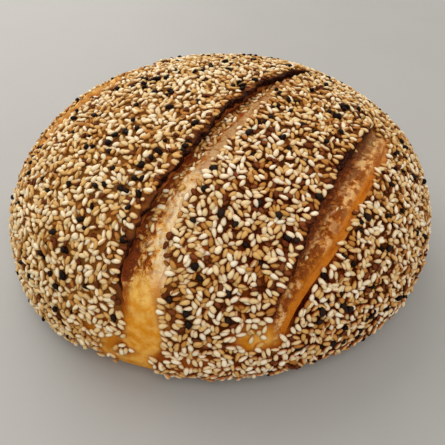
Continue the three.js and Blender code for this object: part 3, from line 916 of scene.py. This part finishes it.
# An operator of wires: one Math node on the wire and the other value, or on the two the other way round.
def wireMaths(operation, reflected=False):
    def method(self, other):
        first, second = (other, self) if reflected else (self, other)
        node = addNode(self.tree, "ShaderNodeMath", {"operation": operation}, {0: first, 1: second})
        return Wire(self.tree, node.outputs[0])

    return method


# A wire is a shader socket that can be written into sums.
class Wire:
    def __init__(self, tree, socket):
        self.tree = tree
        self.socket = socket

    __add__, __radd__ = wireMaths("ADD"), wireMaths("ADD", True)
    __sub__, __rsub__ = wireMaths("SUBTRACT"), wireMaths("SUBTRACT", True)
    __mul__, __rmul__ = wireMaths("MULTIPLY"), wireMaths("MULTIPLY", True)
    __truediv__, __rtruediv__ = wireMaths("DIVIDE"), wireMaths("DIVIDE", True)


# Any node: its type, its settings, then values or wires for its sockets by name or number.
def addNode(tree, kind, settings, sockets):
    node = tree.nodes.new(kind)
    for name, value in settings.items():
        if name == "stops":
            setStops(node.color_ramp, value)
        else:
            setattr(node, name, value)
    for name, value in sockets.items():
        if isinstance(value, Wire):
            tree.links.new(value.socket, node.inputs[name])
        else:
            node.inputs[name].default_value = value
    return node


# A ramp's stops: place and colour of each.
def setStops(ramp, stops):
    while len(ramp.elements) > len(stops):
        ramp.elements.remove(ramp.elements[-1])
    while len(ramp.elements) < len(stops):
        ramp.elements.new(1)
    for element, (place, colour) in zip(ramp.elements, stops):
        element.position = place
        element.color = (*colour, 1)


# A finish: the tree of a new material, with short ways to the nodes that these finishes use.
class Finish:
    def __init__(self, name):
        self.material = bpy.data.materials.new(name)
        self.material.use_nodes = True
        self.tree = self.material.node_tree
        self.shader = self.tree.nodes["Principled BSDF"]
        self.place = self.wire("ShaderNodeTexCoord", {}, {}, "Object")
        self.made = {}

    # One output of any node.
    def wire(self, kind, settings, sockets, output):
        return Wire(self.tree, addNode(self.tree, kind, settings, sockets).outputs[output])

    # Numbers that the piece keeps for each point, one wire for each name.
    def numbers(self, *names):
        for name in names:
            if name not in self.made:
                self.made[name] = self.wire("ShaderNodeAttribute", {"attribute_name": name}, {}, "Fac")
        return [self.made[name] for name in names]

    # Noise of a size in millimetres over the piece.
    def noise(self, size, detail, rough=0.5):
        scale = 1 / (size * mm)
        sockets = {"Vector": self.place, "Scale": scale, "Detail": detail, "Roughness": rough}
        return self.wire("ShaderNodeTexNoise", {}, sockets, 0)

    # Noises from a table of their sizes, each made once.
    def noises(self, table, *names):
        for name in names:
            if name not in self.made:
                self.made[name] = self.noise(*table[name])
        return [self.made[name] for name in names]

    # One coordinate of the piece, in millimetres.
    def axis(self, name):
        return self.wire("ShaderNodeSeparateXYZ", {}, {0: self.place}, name) / mm

    # Colours between stops.
    def ramp(self, factor, stops):
        return self.wire("ShaderNodeValToRGB", {"stops": stops}, {"Fac": factor}, "Color")

    # The S-curve of easeStep, for wires.
    def step(self, value, start, stop):
        sockets = {"Value": value, "From Min": start, "From Max": stop}
        return self.wire("ShaderNodeMapRange", {"interpolation_type": "SMOOTHSTEP"}, sockets, "Result")

    # From the first colour to the second by a factor held between 0 and 1.
    def mix(self, factor, first, second):
        first, second = (each if isinstance(each, Wire) else (*each, 1) for each in (first, second))
        settings = {"data_type": "RGBA", "clamp_factor": True}
        return self.wire("ShaderNodeMix", settings, {0: factor, 6: first, 7: second}, 2)

    # Colours laid over a first one in turn, each by its own factor.
    def layers(self, colour, *tints):
        for factor, tint in tints:
            colour = self.mix(factor, colour, tint)
        return colour

    # Fine relief: a height times a depth in millimetres, by its strength.
    def bump(self, height, strength, depth):
        sockets = {"Strength": strength, "Distance": depth * mm, "Height": height}
        return self.wire("ShaderNodeBump", {}, sockets, "Normal")

    # Values and wires of the shader's own sockets.
    def set(self, sockets):
        for name, value in sockets.items():
            if isinstance(value, Wire):
                self.tree.links.new(value.socket, self.shader.inputs[name])
            else:
                self.shader.inputs[name].default_value = value
        return self.material


# Crust colours, as linear red, green and blue, and its gloss.
crustLook = {
    # brown and deep are partly the skin's own colour and partly painted shade in the gaps between the seeds
    "deep": (0.011, 0.0010, 0.0003), "brown": (0.052, 0.0052, 0.0006), "orange": (0.29, 0.058, 0.005),
    "tan": (0.54, 0.25, 0.045), "gold": (0.68, 0.25, 0.010), "pale": (0.84, 0.44, 0.085),
    "rust": (0.30, 0.070, 0.012), "vein": (0.15, 0.030, 0.006), "edge": (0.74, 0.27, 0.016),
    "burnt": (0.018, 0.005, 0.003), "scorched": (0.15, 0.036, 0.012), "rim": (0.20, 0.050, 0.016),
    "wall": (0.68, 0.20, 0.045), "cream": (0.82, 0.56, 0.27), "straw": (0.82, 0.50, 0.20),
    "honey": (0.88, 0.52, 0.17), "gleam": (0.82, 0.36, 0.030), "glow": (0.92, 0.55, 0.13),
    "rough": 0.6, "shine": 0.03, "bump": 0.8, "bumpDepth": 0.6,
}
# Size in millimetres, detail and roughness of the noises that colour the crust.
crustGrain = {
    "broad": (14, 2), "middling": (3.2, 4), "fine": (0.8, 3, 0.6), "patchy": (2.6, 2, 0.45),
    "grain": (0.5, 2, 0.6), "blotch": (1.9, 4, 0.62), "blob": (3.6, 4, 0.62),
}
# Colours over the share across a slash: the pale floor, its rusty stretch and the amber floor. The dark first
# stops, next to the ear, are partly the floor's own burnt crumb and partly painted shade under the ear.
creamFloor = [
    (0.0, (0.26, 0.055, 0.015)), (0.16, (0.19, 0.032, 0.007)), (0.30, (0.28, 0.066, 0.009)),
    (0.42, (0.70, 0.26, 0.036)), (0.54, (0.86, 0.51, 0.14)), (0.66, (0.82, 0.56, 0.26)),
    (0.82, (0.90, 0.73, 0.45)), (1.0, (0.84, 0.60, 0.32)),
]
rustFloor = [
    (0.0, (0.26, 0.040, 0.009)), (0.16, (0.26, 0.038, 0.006)), (0.30, (0.31, 0.058, 0.007)),
    (0.44, (0.38, 0.12, 0.020)), (0.60, (0.31, 0.13, 0.034)), (0.80, (0.52, 0.33, 0.155)),
    (1.0, (0.46, 0.23, 0.075)),
]
amberFloor = [
    (0.0, (0.05, 0.014, 0.007)), (0.18, (0.08, 0.018, 0.006)), (0.34, (0.20, 0.045, 0.010)),
    (0.47, (0.46, 0.140, 0.022)), (0.64, (0.50, 0.160, 0.018)), (0.80, (0.58, 0.185, 0.014)),
    (1.0, (0.50, 0.145, 0.009)),
]


# Bare crust: gold to pale by noise, with clouds of orange.
def goldenColour(skin):
    look = crustLook
    broad, middling = skin.noises(crustGrain, "broad", "middling")
    return skin.layers(
        look["gold"],
        (skin.step(middling, 0.35, 0.7), look["pale"]),
        (skin.step(broad, 0.5, 0.7) * 0.5, look["orange"]),
    )


# Skin between the seeds: near-black brown, partly its own colour and partly painted shade in the gaps, to
# orange by noise, more at the foot and where the loaf is paler and lit, with deep specks of painted shade, a
# tan where the loaf is paler and lit, and golden where it is bare.
def skinColour(skin, golden):
    look = crustLook
    broad, middling, fine = skin.noises(crustGrain, "broad", "middling", "fine")
    bare, palely = skin.numbers("bare", "palely")
    tone = skin.step(broad * 0.5 + middling * 0.5, 0.4, 0.72) + skin.step(skin.axis("Z"), 26, 8) * 0.3
    return skin.layers(
        look["brown"],
        (tone + palely * 0.4, look["orange"]),
        # painted shade: dark specks deepen the skin in the gaps between the seeds
        (skin.step(fine, 0.46, 0.66) * (0.85 - palely * 0.25), look["deep"]),
        (palely * 0.4, look["tan"]),
        (skin.step(bare, 0.02, 0.3), look["orange"]),
        (skin.step(bare, 0.15, 0.8), golden),
    )


# The pale floor: its colours by the share across, moved by noise, rusty along one stretch, lumps straw.
def creamColour(skin):
    patchy, grain = skin.noises(crustGrain, "patchy", "grain")
    share, rust, lumps = skin.numbers("openShare", "rust", "lumps")
    mottle = ((patchy - 0.5) * 2.0 + (grain - 0.5) * 1.1) * (1.15 - share * 0.6)
    return skin.layers(
        skin.ramp(share + mottle, creamFloor),
        (rust, skin.ramp(share + mottle * 1.3, rustFloor)),
        (skin.step(lumps, 0.45, 1.0) * (0.4 - rust * 0.2), crustLook["straw"]),
    )


# The amber floor: its colours by the share across, moved by noise, with dark veins round straw blotches and
# a paler stretch.
def amberColour(skin):
    look = crustLook
    grain, blotch, blob = skin.noises(crustGrain, "grain", "blotch", "blob")
    share, rust, paleEnd = skin.numbers("openShare", "rust", "paleEnd")
    inside = skin.step(share, 0.85, 0.65) * skin.step(share, 0.32, 0.46)
    veins = skin.step(blob, 0.33, 0.39) * skin.step(blob, 0.48, 0.44)
    return skin.layers(
        skin.ramp(share - rust * 0.04 + (blotch - 0.5) * 1.4 + (grain - 0.5) * 0.5, amberFloor),
        (veins * inside * 0.8, look["vein"]),
        (skin.step(blob, 0.49, 0.56) * inside * 0.9, look["straw"]),
        (paleEnd * skin.step(share, 0.1, 0.4) * 0.3, look["straw"]),
    )


# The smooth front end of a floor: gleaming to glowing gold by noise, orange beside the ear's wall.
def glowColour(skin):
    look = crustLook
    middling, blotch = skin.noises(crustGrain, "middling", "blotch")
    share, = skin.numbers("openShare")
    return skin.layers(
        look["gleam"],
        (skin.step(middling, 0.35, 0.6), look["glow"]),
        (skin.step(blotch, 0.5, 0.36) * 0.5, look["edge"]),
        (skin.step(share, 0.16, 0.0) * 0.7, look["orange"]),
    )


# A slash's floor: pale or amber, with rusty blotches and specks, darkest and speckled dark next to the ear,
# partly burnt crumb and partly painted shade under the ear, golden at the smooth front end, and streaked
# orange and cream by its fibres.
def floorColour(skin):
    look = crustLook
    middling, fine, patchy = skin.noises(crustGrain, "middling", "fine", "patchy")
    grain, blotch = skin.noises(crustGrain, "grain", "blotch")
    share, amber, smooth, rust, strand = skin.numbers("openShare", "amber", "smooth", "rust", "strand")
    # low: the part next to the ear, darkened partly as burnt crumb and partly as painted shade under the ear
    low = skin.step(share + (patchy - 0.5) * 0.5, 0.42, 0.16)
    spotty = blotch + (fine - 0.5) * 0.8
    farEdge = skin.step(share + (middling - 0.5) * 0.4, 0.62, 0.86)
    paleStrand = skin.step(strand, -0.1, -0.6) * (0.45 - amber * 0.35)
    return skin.layers(
        creamColour(skin),
        (amber, amberColour(skin)),
        (skin.step(blotch, 0.47, 0.37) * skin.step(share, 1.1, 0.6) * 0.6, look["rust"]),
        (skin.step(grain, 0.52, 0.7) * 0.25, look["rust"]),
        (skin.step(spotty, 0.5, 0.62) * low * 0.8, look["scorched"]),
        (skin.step(spotty, 0.46, 0.36) * low * (0.4 - amber * 0.35), look["rust"]),
        (skin.step(smooth + (fine - 0.5) * 0.4, 0.2, 0.8) * 0.92, glowColour(skin)),
        (farEdge * smooth * 0.9, look["edge"]),
        (skin.step(strand, 0.05, 0.6) * (amber * 0.25 + 0.35), look["orange"]),
        (paleStrand * (1 - smooth) * (1 - rust * 0.6), look["cream"]),
    )


# An ear's wall: from scorched to reddish on the way down, with scorched clouds, or golden where nothing
# charred it.
def wallColour(skin, golden):
    look = crustLook
    middling, fine = skin.noises(crustGrain, "middling", "fine")
    down, char = skin.numbers("wallDown", "char")
    wall = skin.layers(
        look["scorched"],
        (skin.step(down + (fine - 0.5) * 1.4, 0.1, 0.6), look["wall"]),
        (skin.step(middling, 0.45, 0.62) * 0.7, look["scorched"]),
    )
    return skin.mix(char, golden, wall)


# The crust's finish: skin outside the slashes, walls and floors inside them, honey crust beside the left ear,
# and ears scorched through a brown rim to a burnt lip.
def crustFinish():
    look = crustLook
    skin = Finish("bakedCrust")
    golden = goldenColour(skin)
    middling, fine = skin.noises(crustGrain, "middling", "fine")
    grain, blotch = skin.noises(crustGrain, "grain", "blotch")
    slash, down, smooth = skin.numbers("slashMask", "wallDown", "smooth")
    scorch, honey = skin.numbers("scorch", "honey")
    floor = skin.mix(skin.step(down, 0.65, 1.0), wallColour(skin, golden), floorColour(skin))
    burnt = skin.mix(skin.step(fine, 0.5, 0.75), look["burnt"], look["scorched"])
    colour = skin.layers(
        skinColour(skin, golden),
        (slash, floor),
        (honey * skin.step(middling, 0.75, 0.35), look["honey"]),
        (skin.step(scorch, 0.03, 0.25) * skin.step(middling, 0.62, 0.42) * 0.85, look["rim"]),
        (skin.step(scorch + (fine - 0.5) * 0.5, 0.3, 0.75), burnt),
    )
    height = middling * 0.4 + fine * 0.4 + (grain * 0.6 + blotch * 0.8) * slash * (1 - smooth * 0.5)
    return skin.set({
        "Base Color": colour, "Roughness": look["rough"] + (fine - 0.5) * 0.3,
        "Specular IOR Level": look["shine"], "Normal": skin.bump(height, look["bump"], look["bumpDepth"]),
    })


# Seed colours by kind: the paler and the deeper tone, the browner one at the tip and for the painted shade
# down the sides, the gilt one instead where the loaf is paler and lit, and the gloss.
seedLook = {
    "ivorySeeds": {
        "pale": (0.89, 0.83, 0.64), "deep": (0.82, 0.69, 0.44), "tip": (0.47, 0.122, 0.012),
        "gilt": (0.67, 0.42, 0.14), "rough": 0.4, "shine": 0.2,
    },
    "creamSeeds": {
        "pale": (0.82, 0.69, 0.43), "deep": (0.74, 0.54, 0.25), "tip": (0.41, 0.090, 0.007),
        "gilt": (0.61, 0.36, 0.11), "rough": 0.4, "shine": 0.2,
    },
    "strawSeeds": {
        "pale": (0.73, 0.50, 0.21), "deep": (0.62, 0.35, 0.09), "tip": (0.33, 0.054, 0.003),
        "gilt": (0.51, 0.26, 0.06), "rough": 0.42, "shine": 0.16,
    },
    "toastedSeeds": {
        "pale": (0.57, 0.29, 0.065), "deep": (0.40, 0.14, 0.018), "tip": (0.20, 0.024, 0.0015),
        "gilt": (0.44, 0.19, 0.035), "rough": 0.44, "shine": 0.12,
    },
    "brownSeeds": {
        "pale": (0.25, 0.066, 0.016), "deep": (0.11, 0.022, 0.005), "tip": (0.055, 0.010, 0.002),
        "gilt": (0.11, 0.024, 0.005), "rough": 0.5, "shine": 0.06,
    },
    "blackSeeds": {
        "pale": (0.030, 0.015, 0.010), "deep": (0.008, 0.0036, 0.002), "tip": (0.004, 0.0018, 0.001),
        "gilt": (0.010, 0.004, 0.002), "rough": 0.42, "shine": 0.05,
    },
}


# A seed kind's finish: each seed between two tones, deeper where the loaf is paler and lit, browner or gilt
# at the tip, with painted shade, browner or gilt, down its sides and underneath, faintly mottled.
def seedFinish(kind):
    look = seedLook[kind["name"]]
    hull = Finish(kind["name"])
    tone, along, under, palely = hull.numbers("tone", "along", "under", "palely")
    mottle = hull.noise(0.7, 2)
    # the colour of the tip and of the painted shade down the sides: browner, or gilt where the loaf is paler
    # and lit
    side = hull.mix(palely * 0.8, look["tip"], look["gilt"])
    colour = hull.layers(
        look["deep"],
        (tone * 0.8 + (mottle - 0.5) * 0.6 + 0.1, look["pale"]),
        (palely * 0.6, look["deep"]),
        (hull.step(along, 0.3, 1.05) * 0.75, side),
        # painted shade: each seed's sides and underside darkened, where the gaps and its neighbours shade it
        (hull.step(under, 0.85, -0.25) * 0.95, side),
    )
    return hull.set({
        "Base Color": colour, "Roughness": look["rough"], "Specular IOR Level": look["shine"],
        "Normal": hull.bump(mottle, 0.25, 0.15),
    })


crust = makeCrust()
crust.data.materials.append(crustFinish())
join(crust)
print("crust made:", len(crust.data.polygons), "faces")

coat = layCoat()
for number, kind in enumerate(seedKinds):
    makeSeeds(kind, number, coat).data.materials.append(seedFinish(kind))


# The floor under the loaf: its span in metres, its two tones and the size of its mottle in millimetres.
stageLook = {
    "span": 30.0, "colour": (0.38, 0.375, 0.36), "mottle": (0.355, 0.35, 0.335), "mottleSize": 40,
    "rough": 0.55,
}


# One wide plane at height 0, pale and plain, between two tones by noise.
def makeFloor():
    half = stageLook["span"] / 2 / mm
    points = np.array([[-half, -half, 0], [half, -half, 0], [half, half, 0], [-half, half, 0]])
    floor = meshPiece("floor", points, [0, 1, 2, 3], [4], smooth=False)
    stone = Finish("paleFloor")
    mottle = stone.mix(stone.noise(stageLook["mottleSize"], 2), stageLook["colour"], stageLook["mottle"])
    floor.data.materials.append(stone.set({"Base Color": mottle, "Roughness": stageLook["rough"]}))


# Lights in metres and watts, the point that they look at, and the even light of the room.
studio = {
    "key": {"place": (-0.62, 0.9, 0.85), "side": 1.6, "power": 16.5, "colour": (1.0, 0.96, 0.90)},
    "top": {"place": (0.12, -0.62, 1.02), "side": 0.6, "power": 4.9, "colour": (1.0, 0.97, 0.93)},
    "aim": (0, 0, 0.03), "room": (1.0, 0.98, 0.95), "roomStrength": 0.63,
}


# A soft light: a square panel of a given side, turned from its place to the aim point.
def softLight(name, look):
    lamp = bpy.data.lights.new(name, "AREA")
    lamp.size = look["side"]
    lamp.energy = look["power"]
    lamp.color = look["colour"]
    panel = bpy.data.objects.new(name, lamp)
    panel.location = look["place"]
    panel.rotation_euler = (Vector(studio["aim"]) - Vector(look["place"])).to_track_quat("-Z", "Y").to_euler()
    bpy.context.scene.collection.objects.link(panel)


# The two soft lights, and a world of one colour.
def lightScene():
    for name in ("key", "top"):
        softLight(name, studio[name])
    world = bpy.data.worlds.new("room")
    world.use_nodes = True
    background = world.node_tree.nodes["Background"]
    background.inputs["Color"].default_value = (*studio["room"], 1)
    background.inputs["Strength"].default_value = studio["roomStrength"]
    bpy.context.scene.world = world
    bpy.context.scene.view_settings.view_transform = "Standard"


# Where the camera looks from, in degrees and millimetres.
viewPoint = {"elevation": 43.5, "field": 42, "distance": 248.4, "aimX": 0.52, "aimZ": 10.4, "nearest": 10}


# The camera: it looks down at its aim point from a distance, at an elevation, square to the front.
def makeCamera():
    lens = bpy.data.cameras.new("camera")
    lens.sensor_fit = "HORIZONTAL"
    lens.angle = np.radians(viewPoint["field"])
    lens.clip_start = viewPoint["nearest"] * mm
    camera = bpy.data.objects.new("camera", lens)
    rise = np.radians(viewPoint["elevation"])
    aim = Vector((viewPoint["aimX"], 0, viewPoint["aimZ"])) * mm
    camera.location = aim + Vector((0, -np.cos(rise), np.sin(rise))) * viewPoint["distance"] * mm
    camera.rotation_euler = (np.pi / 2 - rise, 0, 0)
    bpy.context.scene.collection.objects.link(camera)
    bpy.context.scene.camera = camera


makeFloor()
lightScene()
makeCamera()
print("floor, lights and camera placed")
